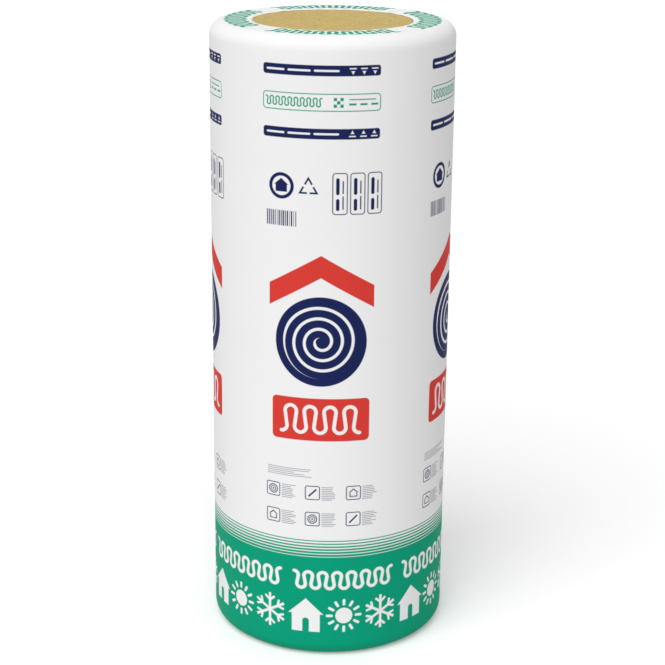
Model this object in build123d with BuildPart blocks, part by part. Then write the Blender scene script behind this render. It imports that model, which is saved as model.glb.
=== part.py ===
"""Roll of glass-wool insulation in a printed film wrap, standing on one end.

The frame's origin is the middle of the lower end and +Z runs up along the roll's axis.
The wool is one wound mat. The film covers its side, turns over both ends
and leaves a round opening there, where the wool stands flush with the film.
"""

import os

from build123d import *

# Driving dimensions, in millimetres
roll_height = 1200.0  # over the film, and the width of the wool mat
roll_diameter = 460.0  # over the film
shoulder_radius = 27.0  # outside of the film, where it turns over an end
opening_diameter = 300.0  # round opening that the film leaves at each end
film_thickness = 0.1
turn_pitch = 33.0  # thickness of one turn of the squeezed mat
crease_width = 4.0  # V-shaped crease between neighbouring turns
crease_depth = 3.0
cut_overrun = 5.0  # how far a cutting shape stands proud of the face it cuts

# The round inside the film is out of sight, so a few flats stand for it
shoulder_flat_count = 4

# The wool fills the film, so it turns its edge about the same centres
flat_radius = roll_diameter / 2 - shoulder_radius
straight_height = roll_height - 2 * shoulder_radius
wool_shoulder_radius = shoulder_radius - film_thickness

# The crease is a spiral of half turns about two centres, half a pitch apart.
# It runs from the start of the mat to the edge of the flat end.
half_turn_growth = turn_pitch / 2
first_turn_radius = turn_pitch / 2
half_turns = int((flat_radius - first_turn_radius) / half_turn_growth)

# Spiral crease on the upper end, as a solid to cut with
with BuildPart() as turn_crease:
    for half_turn in range(half_turns):
        side = 1 if half_turn % 2 == 0 else -1
        centre_x = -side * half_turn_growth / 2
        turn_radius = first_turn_radius + half_turn * half_turn_growth
        with BuildSketch(Plane.XZ) as crease_section:
            with BuildLine(Location((centre_x + side * turn_radius, roll_height))):
                Polyline(
                    (0, -crease_depth),
                    (crease_width / 2, 0),
                    (crease_width / 2, cut_overrun),
                    (-crease_width / 2, cut_overrun),
                    (-crease_width / 2, 0),
                    close=True,
                )
            make_face()
        revolve(axis=Axis((centre_x, 0, 0), (0, 0, 1)), revolution_arc=180)

# Wool: one turned solid whose ends fill the film's openings and show its turns
with BuildPart() as wool_roll:
    with BuildSketch(Plane.XZ) as wool_section:
        with Locations((0, roll_height / 2)):
            with GridLocations(2 * flat_radius, straight_height, 2, 2):
                RegularPolygon(wool_shoulder_radius, 4 * shoulder_flat_count)
            make_hull()
            Rectangle(opening_diameter, roll_height)
        split(bisect_by=Plane.YZ)
    revolve(axis=Axis.Z)
    add(turn_crease.part, mode=Mode.SUBTRACT)
    mirror(turn_crease.part, about=Plane.XY.offset(roll_height / 2), mode=Mode.SUBTRACT)

# Film: the skin that is left between the rounded outside and the wool
with BuildPart() as film_wrap:
    with BuildSketch(Plane.XZ) as film_section:
        with Locations((0, roll_height / 2)):
            RectangleRounded(roll_diameter, roll_height, shoulder_radius)
        add(wool_section.sketch, mode=Mode.SUBTRACT)
        split(bisect_by=Plane.YZ)
    revolve(axis=Axis.Z)

film_wrap.part.label = "film_wrap"
wool_roll.part.label = "wool_roll"

os.makedirs("parts", exist_ok=True)
export_step(film_wrap.part, "parts/film_wrap.step")
export_step(wool_roll.part, "parts/wool_roll.step")
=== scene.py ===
"""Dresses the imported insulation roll: printed film wrap, fibrous wool, floor, light and camera.

Meshes are in metres. The print's layout is in millimetres on the film, with x running
round the roll to the right and z up from the lower end.
"""

import functools
import math

import bpy
import numpy as np
from mathutils import Matrix, Vector, noise


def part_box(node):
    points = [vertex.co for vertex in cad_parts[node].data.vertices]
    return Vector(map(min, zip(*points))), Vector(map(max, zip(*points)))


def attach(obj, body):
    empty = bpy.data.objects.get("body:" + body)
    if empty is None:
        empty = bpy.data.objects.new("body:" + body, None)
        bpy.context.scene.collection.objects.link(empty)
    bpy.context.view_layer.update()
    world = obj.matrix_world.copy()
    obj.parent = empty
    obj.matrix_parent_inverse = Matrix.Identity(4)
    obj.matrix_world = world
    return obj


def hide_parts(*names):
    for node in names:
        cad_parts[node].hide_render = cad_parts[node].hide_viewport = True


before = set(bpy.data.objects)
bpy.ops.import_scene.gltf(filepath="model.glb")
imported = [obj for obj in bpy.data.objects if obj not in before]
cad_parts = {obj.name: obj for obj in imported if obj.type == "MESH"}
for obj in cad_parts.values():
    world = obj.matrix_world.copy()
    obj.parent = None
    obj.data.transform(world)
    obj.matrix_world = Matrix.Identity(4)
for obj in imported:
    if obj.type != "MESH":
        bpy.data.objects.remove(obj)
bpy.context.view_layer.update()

MM = 0.001

# Sizes of the roll: the overall ones from the frame, the others as in the part's source
_, film_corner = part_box("film_wrap")
roll_radius = film_corner.x
roll_height = film_corner.z
shoulder_radius = 27 * MM
opening_radius = 150 * MM
turn_pitch = 33 * MM
flat_radius = roll_radius - shoulder_radius

# Relief of the film
film_thickness = 0.3 * MM  # as seen at its edge
film_depth = 1.2 * MM  # from the outer skin to the plain inner one
film_wave_size = 90 * MM
film_wave_height = 0.35 * MM
pleat_width = 16 * MM
pleat_height = 0.5 * MM
lip_width = 5 * MM  # the film's edge by an opening is drawn down to the wool
lip_drop = 1.5 * MM
lap_width = 45 * MM  # the film ends on top of itself
lap_height = 0.6 * MM
lap_ramp = 8 * MM
lap_edge = 0.4 * MM

# Relief of the wool
wool_clearance = 2 * MM  # between the wool's side and the film
wool_sink = 1.5 * MM  # below the film's outside, on average
wool_under_film = 2.8 * MM  # the same, where the film lies on it
film_reach = 2.5 * MM  # how far inside an opening the film presses on the wool
press_ramp = 3.75 * MM  # from there, the width over which the wool goes down under the film
tuft_sizes_and_heights = ((26 * MM, 0.9 * MM), (9 * MM, 0.8 * MM), (3.2 * MM, 0.6 * MM))
layer_size = 3.6 * MM  # the mat is felted in layers that follow its turns
layer_height = 0.7 * MM
layer_run = 9.0  # changes along a layer, for each radian
crease_start = turn_pitch / 4  # radius from which a crease parts the turns of the mat
crease_width = 3.2 * MM
crease_depth = 2.0 * MM
crease_wander = 2.5 * MM
crease_wander_size = 40 * MM
crease_gap_size = 30 * MM  # the crease is open here and almost shut there

# Layout of the print, in millimetres on the film
PANEL_PITCH = 334.0
PANEL_START = -130.5  # left edge of the panel that faces the front
PANEL_WIDTH = 218.0
BAND_PITCH = PANEL_PITCH * 2 / 3
BAND_START = -80.0
BAND_TOP = 211.0
STRIPES_TOP = 245.6
STRIPE_COUNT = 6
LINE = 1.8  # width of a thin printed line
INK_FADE = 1.4  # width over which the ink ends at an edge
FILM_ROUND = 2 * math.pi * roll_radius / MM
FILM_END = PANEL_START + 2 * PANEL_PITCH  # the lap's edge, between two panels
lap_angle = FILM_END * MM / roll_radius


def srgb(red, green, blue):
    """Linear colour of an sRGB triple that is given in steps of 255."""

    def linear(step):
        share = step / 255
        return share / 12.92 if share <= 0.04045 else ((share + 0.055) / 1.055) ** 2.4

    return (linear(red), linear(green), linear(blue), 1.0)


WHITE = (1.0, 1.0, 1.0, 1.0)
FLOOR_PALE = (0.8, 0.8, 0.8, 1.0)
FILM_WHITE = srgb(243, 243, 243)
INK_GREEN = srgb(8, 158, 122)
INK_NAVY = srgb(29, 39, 87)
INK_RED = srgb(219, 64, 56)
INK_GREY = srgb(120, 124, 146)
WOOL_YELLOW = srgb(203, 179, 114)
WOOL_PALE = srgb(220, 198, 142)
# dark yellow of the wool, also used for painted shade in the wool's pits
WOOL_DEEP_AND_SHADE = srgb(156, 130, 74)


class Term:
    """A number in a shader tree. Arithmetic and comparisons on it add math nodes."""

    def __init__(self, tree, socket):
        self.tree = tree
        self.socket = socket

    def math(self, operation, *others):
        node = self.tree.nodes.new("ShaderNodeMath")
        node.operation = operation
        for entry, value in zip(node.inputs, (self, *others)):
            plug(self.tree, entry, value)
        return Term(self.tree, node.outputs[0])

    def __add__(self, other):
        return self.math("ADD", other)

    __radd__ = __add__

    def __sub__(self, other):
        return self.math("SUBTRACT", other)

    def __rsub__(self, other):
        return self.math("MULTIPLY_ADD", -1.0, other)

    def __mul__(self, other):
        return self.math("MULTIPLY", other)

    __rmul__ = __mul__

    def __truediv__(self, other):
        return self.math("DIVIDE", other)

    def __abs__(self):
        return self.math("ABSOLUTE")

    def __lt__(self, other):
        return self.math("LESS_THAN", other)

    def __gt__(self, other):
        return self.math("GREATER_THAN", other)

    def floor(self):
        return self.math("FLOOR")

    def sine(self):
        return self.math("SINE")

    def cosine(self):
        return self.math("COSINE")

    def between(self, low, high):
        return self.math("COMPARE", (low + high) / 2, (high - low) / 2)

    def is_from(self, first, last):
        """1 where a whole number is one from the first to the last, else 0."""
        return self.between(first - 0.5, last + 0.5)

    def wrap(self, low, high):
        return self.math("WRAP", high, low)

    def repeat(self, start, pitch):
        """Place within the current copy of a pattern that starts again at each pitch."""
        return (self - start).wrap(0.0, pitch)


def plug(tree, entry, value):
    """Links a term or a socket to a node's entry, or sets a plain value there."""
    if isinstance(value, Term):
        tree.links.new(value.socket, entry)
    elif isinstance(value, bpy.types.NodeSocket):
        tree.links.new(value, entry)
    else:
        entry.default_value = value


def least(first, second):
    return first.math("MINIMUM", second)


def most(first, second):
    return first.math("MAXIMUM", second)


def union(*masks):
    return functools.reduce(most, masks)


def hypot(first, second):
    return second.math("MULTIPLY_ADD", second, first * first).math("SQRT")


def direction(x, z):
    """Angle of a point about the origin, counted from the x axis."""
    return z.math("ARCTAN2", x)


def excess(term, level, gain):
    """How far a term is above a level, times the gain, and 0 below it."""
    return most((term - level) * gain, 0.0)


def shortfall(term, level, gain):
    """How far a term is below a level, times the gain, and 0 above it."""
    return most((level - term) * gain, 0.0)


def node_of(tree, kind, **settings):
    """A new node. A setting is an attribute of the node, or else one of its entries."""
    node = tree.nodes.new(kind)
    for name, value in settings.items():
        if hasattr(node, name):
            setattr(node, name, value)
        else:
            plug(tree, node.inputs[name], value)
    return node


def place_terms(tree, place):
    """The three coordinates of a place, as terms."""
    return [Term(tree, socket) for socket in node_of(tree, "ShaderNodeSeparateXYZ", Vector=place).outputs]


def noise_term(tree, place, scale, detail=2.0, roughness=0.5):
    changes = {"Scale": scale, "Detail": detail, "Roughness": roughness}
    return Term(tree, node_of(tree, "ShaderNodeTexNoise", Vector=place, **changes).outputs["Fac"])


def random_term(term):
    """A number from 0 to 1 that looks random and is the same wherever the term is."""
    node = node_of(term.tree, "ShaderNodeTexWhiteNoise", noise_dimensions="1D", W=term)
    return Term(term.tree, node.outputs["Value"])


def mixed(tree, share, first, second):
    """Colour socket that goes from the first colour to the second as share goes from 0 to 1."""
    node = node_of(tree, "ShaderNodeMix", data_type="RGBA")
    sockets = {socket.identifier: socket for socket in (*node.inputs, *node.outputs)}
    plug(tree, sockets["Factor_Float"], share)
    plug(tree, sockets["A_Color"], first)
    plug(tree, sockets["B_Color"], second)
    return sockets["Result_Color"]


def seen_directly(tree):
    """1 for rays from the camera and for what gloss and glass show, else 0."""
    path = tree.nodes.new("ShaderNodeLightPath")
    rays = ("Is Camera Ray", "Is Glossy Ray", "Is Transmission Ray")
    return union(*(Term(tree, path.outputs[ray]) for ray in rays))


# Shapes of the print. Where no distance is named, they give the share of ink.
# A box is given as its left, right, lower and upper edge.


def inked(distance):
    """Share of ink: 1 inside an edge, 0 outside it, and a short fade on the edge itself."""
    fade = distance.math("MULTIPLY_ADD", -1 / INK_FADE, 0.5)
    fade.socket.node.use_clamp = True
    return fade


def overshoot(term, low, high):
    """How far a term is outside a span, and below 0 inside it."""
    return abs(term - (low + high) / 2) - (high - low) / 2


def sharp_box(x, z, box):
    """Distance outside the edge of a box with sharp corners."""
    left, right, low, high = box
    return most(overshoot(x, left, right), overshoot(z, low, high))


def rounded_box(x, z, box, corner):
    """Distance outside the edge of a box with round corners."""
    left, right, low, high = box
    over_x = overshoot(x, left + corner, right - corner)
    over_z = overshoot(z, low + corner, high - corner)
    return hypot(most(over_x, 0.0), most(over_z, 0.0)) - corner


def block(x, z, box):
    return inked(sharp_box(x, z, box))


def box_outline(x, z, box, corner):
    return inked(abs(rounded_box(x, z, box, corner)) - LINE / 2)


def stroke(x, z, start, end):
    """Distance from a straight stroke between two points."""
    run = end[0] - start[0]
    rise = end[1] - start[1]
    from_x = x - start[0]
    from_z = z - start[1]
    along = (from_x * run + from_z * rise) / (run * run + rise * rise)
    share = least(most(along, 0.0), 1.0)
    return hypot(from_x - share * run, from_z - share * rise)


def batt_wave(along, across, period, half_height, half_length, half_line):
    """The looped line that stands for soft insulation on building drawings.

    Round bends of one radius lie in turn below and above, joined by lines that touch both.
    """
    bend_share = 0.3
    reach = least(most(along, -half_length), half_length)
    bend = bend_share * period
    offset = half_height - bend
    run = period / 2
    rise = 2 * offset
    slope = math.atan2(rise, run) + math.asin(2 * bend / math.hypot(run, rise))
    line_length = math.sqrt(run * run + rise * rise - 4 * bend * bend)
    x = reach.math("PINGPONG", run)
    low_z = across + offset
    forward = x * math.cos(slope) + low_z * math.sin(slope)
    aside = x * math.sin(slope) - low_z * math.cos(slope)
    below = forward < 0.0
    above = forward > line_length
    on_line = abs(aside - bend)
    on_low_bend = abs(hypot(x, low_z) - bend)
    on_high_bend = abs(hypot(x - run, across - offset) - bend)
    aside_of_line = on_line * (1 - below - above) + on_low_bend * below + on_high_bend * above
    return inked(hypot(along - reach, aside_of_line) - half_line)


def uneven_lines(x, z, box, pitch, thickness, seed):
    """Rows of thin plain lines that end unevenly."""
    shortest_share = 0.6
    left, right, low, high = box
    longest = right - left
    shortest = shortest_share * longest
    row_count = math.ceil((high - low) / pitch)
    rows = (high - z) / pitch
    row = rows.floor()
    end = random_term(row + seed) * (longest - shortest) + (left + shortest)
    from_line = abs((rows - row) * pitch - pitch / 2) - thickness / 2
    past_ends = most(left - x, x - end)
    return inked(most(from_line, past_ends)) * row.is_from(0, row_count - 1)


def pills(along, across, spans, half_width):
    """A row of plain bars with round ends."""
    return union(*(
        inked(rounded_box(along, across, (start, end, -half_width, half_width), half_width))
        for start, end in spans
    ))


def house(x, z, half_width, base, eaves, ridge):
    """Walls up to where they meet the slopes of a roof that stands out past them."""
    wall_share = 0.8
    half_wall = wall_share * half_width
    wall_top = ridge - wall_share * (ridge - eaves)
    walls = sharp_box(x, z, (-half_wall, half_wall, base, wall_top))
    roof_slope = (ridge - eaves) / half_width
    past_slope = (abs(x) * roof_slope + z - ridge) / math.hypot(1, roof_slope)
    roof = most(past_slope, eaves - z)
    return inked(least(walls, roof))


def folded(x, z, count, start):
    """Distances out and aside from the nearest of evenly spread rays about the origin."""
    step = 2 * math.pi / count
    turned = (direction(x, z) - start).wrap(-step / 2, step / 2)
    from_middle = hypot(x, z)
    return from_middle * turned.cosine(), from_middle * turned.sine()


def broken_triangle(x, z):
    """Outline of a triangle that is open at the middle of each side."""
    side_distance = 9.0
    half_line = 1.7
    half_gap = 2.4
    out, aside = folded(x, z, count=3, start=-math.pi / 2)
    return inked(most(abs(out - side_distance) - half_line, half_gap - abs(aside)))


def sun(x, z):
    """A disc with rays."""
    disc_radius = 16.5
    ray_box = (21.5, 35.0, -2.7, 2.7)
    ray_corner = 2.6
    out, aside = folded(x, z, count=12, start=0.0)
    ray = rounded_box(out, aside, ray_box, ray_corner)
    return inked(least(hypot(x, z) - disc_radius, ray))


def snow(x, z):
    """A star of six arms with side twigs."""
    arm_length = 35.0
    arm_half_width = 2.6
    twig_start = (19.5, 0.0)
    twig_end = (27.5, 9.0)
    twig_half_width = 2.3
    out, aside = folded(x, z, count=6, start=-math.pi / 6)
    from_arm = abs(aside)
    arm = most(from_arm - arm_half_width, out - arm_length)
    twig = stroke(out, from_arm, twig_start, twig_end) - twig_half_width
    return inked(least(arm, twig))


class Sheet:
    """The film's own coordinates in millimetres, and the colour printed so far."""

    def __init__(self, tree):
        self.tree = tree
        self.place = node_of(tree, "ShaderNodeTexCoord").outputs["Object"]
        across, depth, height = (term / MM for term in place_terms(tree, self.place))
        right_of_front = direction(depth * -1.0, across)
        self.angle = right_of_front.wrap(lap_angle - 2 * math.pi, lap_angle)
        self.radius = hypot(across, depth)
        self.round = self.angle * (roll_radius / MM)
        self.x = self.round.repeat(PANEL_START, PANEL_PITCH)
        self.z = height
        self.colour = FILM_WHITE

    def ink(self, mask, colour):
        self.colour = mixed(self.tree, mask, self.colour, colour)


def print_headings(sheet):
    """Two navy bars and an outlined green panel between them, near the upper end."""
    left = 2.0
    middle = 1084.5
    bar_middle = 56.0  # above and below the middle
    bar_box = (left, PANEL_WIDTH, -9.5, 9.5)
    bar_corner = 5.0
    slot_spans = ((9.0, 44.0), (50.0, 92.0), (98.0, 143.0))
    slot_half_width = 1.8
    mark_start = 157.0
    mark_pitch = 20.0
    mark_count = 3
    dash_box = (-6.0, 6.0, 3.0, 5.0)
    arrow_tip = -6.5
    arrow_top = -0.5
    arrow_spread = 0.55
    x = sheet.x
    z = sheet.z - middle
    from_bar = abs(z) - bar_middle
    sheet.ink(inked(rounded_box(x, from_bar, bar_box, bar_corner)), INK_NAVY)
    slots = pills(x, from_bar, slot_spans, slot_half_width)
    in_marks = x.between(mark_start, mark_start + mark_count * mark_pitch)
    mark_x = x.repeat(mark_start, mark_pitch) - mark_pitch / 2
    dashes = block(mark_x, from_bar, dash_box)
    past_side = (abs(mark_x) - (from_bar - arrow_tip) * arrow_spread) / math.hypot(1, arrow_spread)
    arrows = inked(most(past_side, from_bar - arrow_top))
    sheet.ink(most(slots, most(dashes, arrows) * in_marks), FILM_WHITE)

    panel_box = (left, PANEL_WIDTH, -15.0, 15.0)
    panel_corner = 6.0
    wave_middle = 60.0
    chequer_middle = 142.0
    chequer_box = (-9.0, 9.0, -9.0, 9.0)
    square = 6.0
    note_box = (-6.5, 6.5, -4.8, -1.2)
    rule_box = (161.0, 209.0, 4.5, 6.5)
    outline = box_outline(x, z, panel_box, panel_corner)
    wave = batt_wave(x - wave_middle, z, period=11.6, half_height=7.5, half_length=52.2, half_line=1.3)
    chequer_x = x - chequer_middle
    odd_x, odd_z = (inked(term.math("PINGPONG", square) - square / 2) for term in (chequer_x, z))
    squares = (odd_x * odd_z + (1 - odd_x) * (1 - odd_z)) * block(chequer_x, z, chequer_box)
    notes = block(mark_x, z, note_box) * in_marks
    rule = block(x, z, rule_box)
    sheet.ink(union(outline, wave, squares, notes, rule), INK_GREEN)


def print_marks(sheet):
    """Small signs: a house in a ring, a broken triangle, a row of bars and three tall labels."""
    ring_middle_x, ring_middle_z = 38.0, 931.5
    ring_radius = 21.0
    ring_half_line = 3.2
    triangle_x, triangle_z = 89.0, 930.0
    bars_box = (8.0, 68.0, 858.0, 886.0)
    bar_pitch = 4.0
    bar_seed = 5.0
    least_half_bar = 0.5
    most_half_bar = 1.5
    ring_x = sheet.x - ring_middle_x
    ring_z = sheet.z - ring_middle_z
    ring = inked(abs(hypot(ring_x, ring_z) - ring_radius) - ring_half_line)
    home = house(ring_x, ring_z, half_width=14.0, base=-11.0, eaves=2.0, ridge=14.0)
    triangle = broken_triangle(sheet.x - triangle_x, sheet.z - triangle_z)
    bar = (sheet.x / bar_pitch).floor()
    half_bar = random_term(bar + bar_seed) * (most_half_bar - least_half_bar) + least_half_bar
    from_bar = abs(sheet.x.repeat(0.0, bar_pitch) - bar_pitch / 2) - half_bar
    bars = inked(most(from_bar, sharp_box(sheet.x, sheet.z, bars_box)))

    label_start = 130.0
    label_pitch = 32.0
    label_count = 3
    label_middle = 920.5
    label_box = (-13.0, 13.0, -37.5, 37.5)
    label_corner = 5.0
    heavy_x = -4.0
    heavy_spans = ((-31.0, -9.0), (-2.0, 29.0))
    heavy_half_width = 3.2
    light_x = 5.5
    light_spans = ((-29.0, -4.0), (0.0, 24.0))
    light_half_width = 1.2
    label_x = sheet.x.repeat(label_start, label_pitch) - label_pitch / 2
    label_z = sheet.z - label_middle
    in_labels = sheet.x.between(label_start, label_start + label_count * label_pitch)
    outline = box_outline(label_x, label_z, label_box, label_corner)
    heavy = pills(label_z, label_x - heavy_x, heavy_spans, heavy_half_width)
    light = pills(label_z, label_x - light_x, light_spans, light_half_width)
    labels = union(outline, heavy, light) * in_labels
    sheet.ink(union(ring, home, triangle, bars, labels), INK_NAVY)


def print_motif(sheet):
    """The large picture: a roof over a wound roll, and a mat below."""
    middle = 113.0
    roll_middle = 642.0
    roll_size = 86.0
    gap_start = 9.0
    gap_end = 71.0
    gap_pitch = 20.0
    half_gap = 2.8
    x = sheet.x - middle
    roll_z = sheet.z - roll_middle
    from_middle = hypot(x, roll_z)
    turns = from_middle / gap_pitch - direction(x, roll_z) / (2 * math.pi)
    from_gap = abs(turns.wrap(-0.5, 0.5)) * gap_pitch - half_gap
    gap = inked(most(from_gap, overshoot(from_middle, gap_start, gap_end)))
    sheet.ink(inked(from_middle - roll_size) * (1 - gap), INK_NAVY)

    mat_middle = 490.0
    mat_box = (-93.0, 93.0, -42.0, 42.0)
    mat_corner = 9.0
    roof_ridge = 806.0
    roof_depth = 42.0
    roof_slope = 0.58
    roof_half_width = 99.0
    mat_z = sheet.z - mat_middle
    mat = inked(rounded_box(x, mat_z, mat_box, mat_corner))
    wave = batt_wave(x, mat_z, period=37.2, half_height=26.0, half_length=74.4, half_line=3.4)
    ridge_line = abs(x) * roof_slope + sheet.z
    past_slope = overshoot(ridge_line, roof_ridge - roof_depth, roof_ridge) / math.hypot(1, roof_slope)
    roof = inked(most(past_slope, abs(x) - roof_half_width))
    sheet.ink(most(mat * (1 - wave), roof), INK_RED)


def print_guide(sheet):
    """Two rows of small pictures with lines beside them, and a block of lines above."""
    notes_box = (9.5, 100.0, 373.0, 391.0)
    first_x = 4.0
    first_z = 272.0
    column_count = 3
    row_count = 2
    column_pitch = 78.0
    row_pitch = 53.5
    margin = 4.0  # below a picture and on both sides of it
    side = 27.0
    corner = 3.5
    lines_start = side + margin
    lines_length = 30.0
    lines_box = (lines_start, lines_start + lines_length, 0.0, side)
    column_seed = 7.0
    row_seed = 19.0
    notes = uneven_lines(sheet.x, sheet.z, notes_box, pitch=3.7, thickness=1.1, seed=2.0)
    column = ((sheet.x - first_x) / column_pitch).floor()
    row = ((sheet.z - first_z) / row_pitch).floor()
    in_grid = column.is_from(0, column_count - 1) * row.is_from(0, row_count - 1)
    x = sheet.x.repeat(first_x, column_pitch) - margin
    z = sheet.z.repeat(first_z, row_pitch) - margin
    lines_seed = column * column_seed + row * row_seed
    lines = uneven_lines(x, z, lines_box, pitch=3.6, thickness=1.2, seed=lines_seed)
    sheet.ink(most(notes, lines * in_grid), INK_GREY)

    ring_radii_and_half_lines = ((8.5, 1.0), (5.0, 0.8), (0.0, 1.8))
    rod_half_width = 2.2
    rod_half_length = 15.0
    from_x = x - side / 2
    from_z = z - side / 2
    from_middle = hypot(from_x, from_z)
    walls = house(from_x, from_z, half_width=9.5, base=-8.0, eaves=1.0, ridge=9.0)
    room = house(from_x, from_z, half_width=7.0, base=-6.2, eaves=0.5, ridge=6.2)
    home = walls * (1 - room)
    roll = union(*(inked(abs(from_middle - radius) - half) for radius, half in ring_radii_and_half_lines))
    rod = inked(most(abs(from_x - from_z) - rod_half_width, abs(from_x + from_z) - rod_half_length))
    drawings = (home, roll, rod)
    kind = (column + row).wrap(0.0, len(drawings))
    pictures = union(*(drawing * kind.is_from(number, number) for number, drawing in enumerate(drawings)))
    outline = box_outline(x, z, (0.0, side, 0.0, side), corner)
    sheet.ink(most(outline, pictures) * in_grid, INK_NAVY)


def print_band(sheet):
    """The green band, fine stripes above it, and white drawings on it."""
    first_stripe_share = 0.38
    last_stripe_share = 0.8
    stripe_pitch = (STRIPES_TOP - BAND_TOP) / STRIPE_COUNT
    stripe_growth = (last_stripe_share - first_stripe_share) / (STRIPE_COUNT - 1)
    stripes = (STRIPES_TOP - sheet.z) / stripe_pitch
    stripe = stripes.floor()
    below_top = stripes - stripe
    stripe_share = stripe * stripe_growth + first_stripe_share
    past_stripe = least(most(below_top - stripe_share, below_top * -1.0), 1 - below_top)
    near_stripes = sheet.z.between(BAND_TOP, STRIPES_TOP + stripe_pitch / 2)
    lines = inked(past_stripe * stripe_pitch) * near_stripes
    sheet.ink(most(lines, inked(sheet.z - BAND_TOP)), INK_GREEN)

    wave_middle = 162.5
    sign_middle = 88.0
    sign_count = 3
    sign_pitch = BAND_PITCH / sign_count
    door_box = (-6.5, 6.5, -40.0, -6.0)
    door_corner = 6.0
    x = sheet.round.repeat(BAND_START, BAND_PITCH)
    wave_x = x - BAND_PITCH / 2
    wave_z = sheet.z - wave_middle
    wave = batt_wave(wave_x, wave_z, period=27.8, half_height=17.0, half_length=97.3, half_line=3.3)
    house_x, sun_x, snow_x = (x - sign_pitch * (place + 0.5) for place in range(sign_count))
    sign_z = sheet.z - sign_middle
    door = inked(rounded_box(house_x, sign_z, door_box, door_corner))
    home = house(house_x, sign_z, half_width=34.5, base=-35.0, eaves=2.0, ridge=35.0) * (1 - door)
    signs = union(home, sun(sun_x, sign_z), snow(snow_x, sign_z))

    # A sign that the film's start or end would cut is left out
    sign = ((sheet.round - BAND_START) / sign_pitch).floor()
    first_whole = math.ceil((FILM_END - FILM_ROUND - BAND_START) / sign_pitch)
    last_whole = math.floor((FILM_END - BAND_START) / sign_pitch) - 1
    whole = sign.is_from(first_whole, last_whole)
    sheet.ink(most(wave, signs * whole), FILM_WHITE)


def print_end(sheet):
    """Lengths of looped line round the opening of the upper end."""
    group_count = 4
    line_radius = 182.0
    half_group = math.pi / group_count
    along = sheet.angle.wrap(-half_group, half_group) * line_radius
    across = sheet.radius - line_radius
    wave = batt_wave(along, across, period=25.4, half_height=18.5, half_length=114.3, half_line=4.0)
    on_end = (sheet.z > (roll_height - shoulder_radius) / MM) * (sheet.radius < flat_radius / MM)
    sheet.ink(wave * on_end, INK_GREEN)


def new_material(name):
    material = bpy.data.materials.new(name)
    material.use_nodes = True
    return material, material.node_tree, material.node_tree.nodes["Principled BSDF"]


def film_material():
    """White plastic film, printed, with a faint drawn grain and uneven gloss."""
    material, tree, shader = new_material("printed_film")
    sheet = Sheet(tree)
    for print_part in (print_headings, print_marks, print_motif, print_guide, print_band, print_end):
        print_part(sheet)
    plug(tree, shader.inputs["Base Color"], sheet.colour)

    lowest_roughness = 0.50
    roughness_spread = 0.16
    unevenness = noise_term(tree, sheet.place, scale=14.0)
    plug(tree, shader.inputs["Roughness"], unevenness * roughness_spread + lowest_roughness)
    shader.inputs["Specular IOR Level"].default_value = 0.04

    fine_weight = 0.25
    drawn_grain = noise_term(tree, sheet.place, scale=55.0, detail=4.0)
    fine_grain = noise_term(tree, sheet.place, scale=420.0)
    grain = drawn_grain + fine_grain * fine_weight
    bump = node_of(tree, "ShaderNodeBump", Strength=0.12, Distance=1.2 * MM, Height=grain)
    plug(tree, shader.inputs["Normal"], bump.outputs["Normal"])
    return material


def fibre_term(tree, place):
    """Fine strands that lie three ways across the mat."""
    strand_turns = (0.2, 1.3, 2.4)
    strand_changes = (1.0, 14.0, 3.0)  # along, across and above a strand
    strands = []
    for turn in strand_turns:
        turned = (0.0, 0.0, turn)
        mapping = node_of(tree, "ShaderNodeMapping", Vector=place, Rotation=turned, Scale=strand_changes)
        strands.append(noise_term(tree, mapping.outputs["Vector"], scale=70.0, detail=3.0, roughness=0.6))
    return union(*strands)


def layer_term(tree, place):
    """Thin layers of felt that follow the turns of the mat."""
    x, y, _ = place_terms(tree, place)
    radius = hypot(x, y)
    turned = node_of(
        tree,
        "ShaderNodeCombineXYZ",
        X=radius / layer_size,
        Y=x / radius * layer_run,
        Z=y / radius * layer_run,
    )
    return noise_term(tree, turned.outputs["Vector"], scale=1.6, detail=3.0, roughness=0.6)


def wool_material():
    """Glass wool: fine fibres that lie all ways, felted in layers, pale to dark yellow, with painted shade
    in its pits.
    """
    material, tree, shader = new_material("glass_wool")
    place = node_of(tree, "ShaderNodeTexCoord").outputs["Object"]
    fibres = fibre_term(tree, place)
    layers = layer_term(tree, place)
    mottle = noise_term(tree, place, scale=45.0, detail=5.0, roughness=0.65)
    pits = noise_term(tree, place, scale=260.0, detail=3.0)

    most_deep_and_shade = 0.75
    most_pale = 0.6
    # darker in the pits, which is painted shade; the mottle and the layers are the wool's own tone
    pit_shade_and_mottle = shortfall(pits, level=0.5, gain=2.0) + shortfall(mottle, level=0.47, gain=1.8)
    deep_tone_and_pit_shade = pit_shade_and_mottle + shortfall(layers, level=0.46, gain=2.2)
    pale = excess(fibres, level=0.52, gain=3.0)
    colour = mixed(tree, least(deep_tone_and_pit_shade, most_deep_and_shade), WOOL_YELLOW, WOOL_DEEP_AND_SHADE)
    colour = mixed(tree, least(pale, most_pale), colour, WOOL_PALE)
    plug(tree, shader.inputs["Base Color"], colour)
    shader.inputs["Roughness"].default_value = 0.95
    shader.inputs["Specular IOR Level"].default_value = 0.1

    pit_weight = 0.6
    layer_weight = 0.8
    relief = fibres + pits * pit_weight + layers * layer_weight
    bump = node_of(tree, "ShaderNodeBump", Strength=0.6, Distance=1.0 * MM, Height=relief)
    plug(tree, shader.inputs["Normal"], bump.outputs["Normal"])
    return material


# Meshes. Each is made of rows of points that run round the axis, to the right from the front.


def turned_row(radius, angles, height):
    heights = np.broadcast_to(height, angles.shape)
    return np.stack([radius * np.sin(angles), -radius * np.cos(angles), heights], axis=1)


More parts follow.
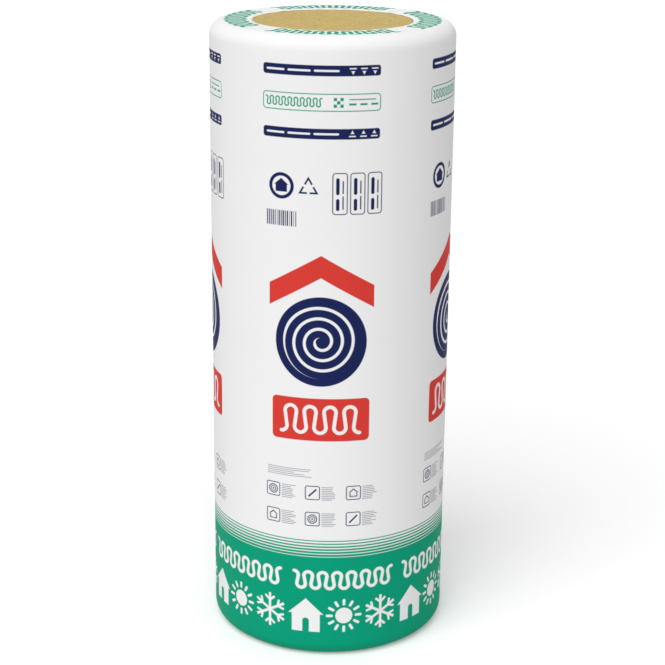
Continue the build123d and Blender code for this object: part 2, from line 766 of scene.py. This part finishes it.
def turned_object(name, rows, closed, map_heights, material):
    """Object from rows of points that each run once round the axis.

    The rows close on themselves, or else end in a point on the axis at both ends. The map
    has the turn across and the rows upwards, at the heights given.
    """
    row_count, segments, _ = rows.shape
    points = rows.reshape(-1, 3)
    column = np.arange(segments)
    after = (column + 1) % segments
    left = column / segments
    right = (column + 1) / segments
    faces = []
    places = []

    def add_faces(corners, corner_places):
        """One face for each step of the turn, from the corners' points and map places."""
        faces.extend(np.stack(corners, axis=1).tolist())
        spread = [np.broadcast_to(value, segments) for place in corner_places for value in place]
        places.append(np.stack(spread, axis=1).ravel())

    for row in range(row_count if closed else row_count - 1):
        lower = row * segments
        upper = (row + 1) % row_count * segments
        low, high = map_heights[row], map_heights[row + 1]
        add_faces(
            (lower + column, lower + after, upper + after, upper + column),
            ((left, low), (right, low), (right, high), (left, high)),
        )
    if not closed:
        middle = (left + right) / 2
        first_tip = np.full(segments, len(points))
        last_tip = first_tip + 1
        last = (row_count - 1) * segments
        points = np.vstack([points, rows[0].mean(axis=0), rows[-1].mean(axis=0)])
        low, high = map_heights[0], map_heights[-1]
        add_faces((after, column, first_tip), ((right, low), (left, low), (middle, 0.0)))
        add_faces((last + column, last + after, last_tip), ((left, high), (right, high), (middle, 1.0)))
    mesh = bpy.data.meshes.new(name)
    mesh.from_pydata(points.tolist(), [], faces)
    mesh.uv_layers.new(name="OFBake").data.foreach_set("uv", np.concatenate(places))
    mesh.polygons.foreach_set("use_smooth", np.ones(len(faces), bool))
    mesh.materials.append(material)
    piece = bpy.data.objects.new(name, mesh)
    bpy.context.collection.objects.link(piece)
    return piece


def quarter(centre_radius, centre_z, radius, start, steps):
    """Points of a quarter round, from the start angle on, counted from the outward direction."""
    angles = start + np.linspace(0, math.pi / 2, steps)
    return np.stack([centre_radius + radius * np.cos(angles), centre_z + radius * np.sin(angles)], axis=1)


def straight(start, end, steps):
    """Points between two others, without those two."""
    return np.linspace(start, end, steps + 2)[1:-1]


def skin_profile(inset, ring_shares, round_steps, side_steps):
    """Half outline (radius, z) of the film from the lower opening to the upper one.

    The shares place its points between the opening and the shoulder. By the opening it is
    drawn down to the wool.
    """
    round_size = shoulder_radius - inset
    ring_radii = opening_radius + (flat_radius - opening_radius) * np.array(ring_shares)
    to_edge = np.maximum(0, 1 - (ring_radii - opening_radius) / lip_width)
    ring_heights = inset + lip_drop * to_edge**2
    low_ring = np.stack([ring_radii, ring_heights], axis=1)
    high_ring = np.stack([ring_radii, roll_height - ring_heights], axis=1)[::-1]
    low = quarter(flat_radius, shoulder_radius, round_size, -math.pi / 2, round_steps)
    high = quarter(flat_radius, roll_height - shoulder_radius, round_size, 0.0, round_steps)
    return np.vstack([low_ring, low, straight(low[-1], high[0], side_steps), high, high_ring])


def film_relief(angle, radius, height):
    """How far the film stands out at a point: slow waves, pleats by the openings, the lap."""
    low_seed = 3.0
    high_seed = 7.0
    around = Vector((math.cos(angle), math.sin(angle), 0.0))
    place = around * radius + Vector((0.0, 0.0, height))
    wave = film_wave_height * noise.noise(place / film_wave_size)
    to_opening = max(0.0, (flat_radius - radius) / (flat_radius - opening_radius))
    end_seed = high_seed if height > roll_height / 2 else low_seed
    folds = noise.noise(around * (opening_radius / pleat_width) + Vector((0.0, 0.0, end_seed)))
    pleat = pleat_height * to_opening * folds
    before_edge = (lap_angle - angle) * roll_radius
    lap = lap_height * min(1.0, max(0.0, (lap_width - before_edge) / lap_ramp))
    return wave + pleat + lap


def make_film(material):
    """The wrap: an outer skin with its relief, and a plain inner skin that closes it."""
    segments = 288
    outer_ring_shares = (0.0, 0.012, 0.03, 0.055, 0.09, 0.17, 0.27, 0.38, 0.5, 0.62, 0.75, 0.88)
    inner_ring_shares = (0.09, 0.5)
    outer_map_share = 0.95
    angles = np.linspace(lap_angle - 2 * math.pi, lap_angle, segments, endpoint=False)
    angles = np.append(angles, lap_angle - lap_edge / roll_radius)
    outer = skin_profile(0.0, outer_ring_shares, round_steps=14, side_steps=110)
    inner = skin_profile(film_depth, inner_ring_shares, round_steps=6, side_steps=4)
    steps = np.gradient(outer, axis=0)
    steps /= np.linalg.norm(steps, axis=1)[:, None]
    outer_rows = []
    for (radius, height), (step_out, step_up) in zip(outer, steps):
        lift = np.array([film_relief(angle, radius, height) for angle in angles])
        level = np.maximum(height - step_out * lift, 0.0)  # the lower end lies flat on the floor
        outer_rows.append(turned_row(radius + step_up * lift, angles, level))
    edge = np.array([0.0, 0.0, film_thickness])
    inner_rows = [turned_row(radius, angles, height) for radius, height in inner[::-1]]
    rows = [*outer_rows, outer_rows[-1] - edge, *inner_rows, outer_rows[0] + edge]

    length = np.cumsum(np.linalg.norm(np.diff(outer, axis=0), axis=1))
    outer_heights = outer_map_share * np.append(0.0, length / length[-1])
    inner_heights = np.linspace(outer_map_share, 1.0, len(rows) - len(outer) + 2)[1:]
    return turned_object("film", np.array(rows), True, np.append(outer_heights, inner_heights), material)


def wool_relief(x, y, seed):
    """Height of the wool's end at a point, from tufts, layers and the crease between turns."""
    radius = math.hypot(x, y)
    lift = 0.0
    for size, height in tuft_sizes_and_heights:
        lift += height * noise.noise(Vector((x / size, y / size, seed)))
    along = Vector((x, y)) * (layer_run / radius)
    lift += layer_height * noise.noise(Vector((radius / layer_size, along.x, along.y + seed)))
    if radius < crease_start:
        return lift

    crease_turn = 0.25  # how far the spiral is turned, in turns
    wander_seed = seed + 9.0
    gap_seed = seed + 4.0
    gap_share = 0.65
    gap_spread = 0.5
    wander = noise.noise(Vector((x / crease_wander_size, y / crease_wander_size, wander_seed)))
    turn = math.atan2(y, x) / (2 * math.pi) + crease_turn
    turns = (radius + crease_wander * wander) / turn_pitch - turn
    from_crease = abs(turns - round(turns)) * turn_pitch
    gap = gap_share + gap_spread * noise.noise(Vector((x / crease_gap_size, y / crease_gap_size, gap_seed)))
    return lift - crease_depth * gap * math.exp(-((from_crease / (crease_width / 2)) ** 2))


def make_wool(material):
    """The wound mat: fibrous ends in the film's openings, and a plain side inside the film."""
    segments = 340
    fine_count = 112
    coarse_count = 4
    round_steps = 7
    low_seed = 2.0
    high_seed = 6.0
    hidden_relief_share = 0.25
    tip_map_share = 0.01
    middle_radius = 0.8 * MM
    fine_overlap = 4 * MM  # the fine rows go on a little under the film
    fine_radius = opening_radius + fine_overlap
    angles = np.linspace(-math.pi, math.pi, segments, endpoint=False)
    fine_radii = np.linspace(middle_radius, fine_radius, fine_count)
    coarse_radii = np.linspace(fine_radius, flat_radius, coarse_count + 1)[1:]
    radii = np.concatenate([fine_radii, coarse_radii])

    def end_row(radius, level, up, seed):
        """One row of an end. It goes down under the film, and never below the floor."""
        into_film = (radius - opening_radius + film_reach) / press_ramp
        under_film = min(1.0, max(0.0, into_film))
        shown = 1 - (1 - hidden_relief_share) * under_film
        sink = under_film * (wool_under_film - wool_sink)
        x, y, _ = turned_row(radius, angles, level).T
        lift = np.array([shown * wool_relief(a, b, seed) for a, b in zip(x, y)])
        return turned_row(radius, angles, np.maximum(level + up * (lift - sink), 0.0))

    round_size = roll_radius - wool_clearance - flat_radius
    round_low = wool_under_film + round_size
    low_round = quarter(flat_radius, round_low, round_size, -math.pi / 2, round_steps)
    high_round = quarter(flat_radius, roll_height - round_low, round_size, 0.0, round_steps)
    rows = [end_row(radius, wool_sink, -1.0, low_seed) for radius in radii]
    rows += [turned_row(radius, angles, level) for radius, level in (*low_round[1:], *high_round[:-1])]
    rows += [end_row(radius, roll_height - wool_sink, 1.0, high_seed) for radius in radii[::-1]]
    map_heights = np.linspace(tip_map_share, 1 - tip_map_share, len(rows))
    return turned_object("wool", np.array(rows), False, map_heights, material)


def make_floor():
    """A wide pale floor. To the camera it is white, and it keeps the roll's shadow."""
    glow = 0.27
    bpy.ops.mesh.primitive_circle_add(vertices=96, radius=14.0, fill_type="NGON")
    floor = bpy.context.object
    floor.name = "floor"
    material, tree, shader = new_material("floor_white")
    shader.inputs["Base Color"].default_value = FLOOR_PALE
    shader.inputs["Roughness"].default_value = 0.9
    shader.inputs["Specular IOR Level"].default_value = 0.0
    shader.inputs["Emission Color"].default_value = WHITE
    plug(tree, shader.inputs["Emission Strength"], seen_directly(tree) * glow)
    floor.data.materials.append(material)


def make_light():
    """Even light all round, and one broad soft light from high up, in front and to the left."""
    ambient = 0.39
    world = bpy.data.worlds.new("studio")
    bpy.context.scene.world = world
    world.use_nodes = True
    tree = world.node_tree
    background = tree.nodes["Background"]
    background.inputs["Color"].default_value = WHITE
    plug(tree, background.inputs["Strength"], seen_directly(tree) * (1 - ambient) + ambient)

    elevation = math.radians(55)
    left_of_front = math.radians(23)
    lamp = bpy.data.lights.new("key", "SUN")
    lamp.energy = 2.2
    lamp.angle = math.radians(50)
    holder = bpy.data.objects.new("key", lamp)
    bpy.context.collection.objects.link(holder)
    toward = Vector((
        -math.sin(left_of_front) * math.cos(elevation),
        -math.cos(left_of_front) * math.cos(elevation),
        math.sin(elevation),
    ))
    holder.rotation_euler = toward.to_track_quat("Z", "Y").to_euler()


def make_camera():
    """The photograph's view, without lens shift."""
    place = Vector((0.0, -3.286, 1.638))
    tilt = math.radians(17.72)
    pan = math.radians(0.08)
    lean = math.radians(0.53)
    forward = Vector((math.sin(pan) * math.cos(tilt), math.cos(pan) * math.cos(tilt), -math.sin(tilt)))
    right = Vector((math.cos(pan), -math.sin(pan), 0.0))
    up = right.cross(forward)
    leaned_right = right * math.cos(lean) + up * math.sin(lean)
    leaned_up = up * math.cos(lean) - right * math.sin(lean)
    view = bpy.data.cameras.new("camera")
    view.sensor_width = 36.0
    view.lens = 95.0
    camera = bpy.data.objects.new("camera", view)
    bpy.context.collection.objects.link(camera)
    turn = Matrix((leaned_right, leaned_up, -forward)).transposed().to_4x4()
    camera.matrix_world = Matrix.Translation(place) @ turn
    bpy.context.scene.camera = camera


film = make_film(film_material())
wool = make_wool(wool_material())
for piece, node, slot in ((film, "film_wrap", "printed_film"), (wool, "wool_roll", "glass_wool")):
    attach(piece, "root")
    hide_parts(node)

make_floor()
make_light()
make_camera()
bpy.context.scene.view_settings.view_transform = "Standard"
